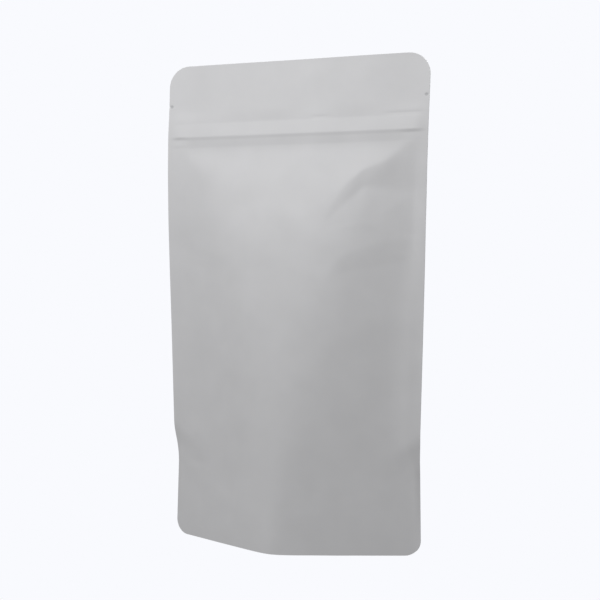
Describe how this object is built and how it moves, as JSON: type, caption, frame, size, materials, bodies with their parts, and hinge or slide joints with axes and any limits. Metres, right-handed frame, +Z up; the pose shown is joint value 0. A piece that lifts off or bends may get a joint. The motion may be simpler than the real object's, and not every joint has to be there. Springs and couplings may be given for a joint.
{
  "type": "stand-up pouch",
  "caption": "Filled, heat-sealed stand-up pouch of plain matte white film with a press-to-close zipper, tear notches, rounded corners and a folded base.",
  "frame": {"origin": "middle of the base, on the plane that the pouch stands on", "axes": "+Z up, -Y the way the front web faces, +X to the right as one looks at the front"},
  "size_m": [0.1294, 0.0451, 0.225],
  "materials": {
    "film": "matte white film laminate, soft sheen"
  },
  "bodies": {
    "root": {"pouch": "film"}
  },
  "joints": []
}
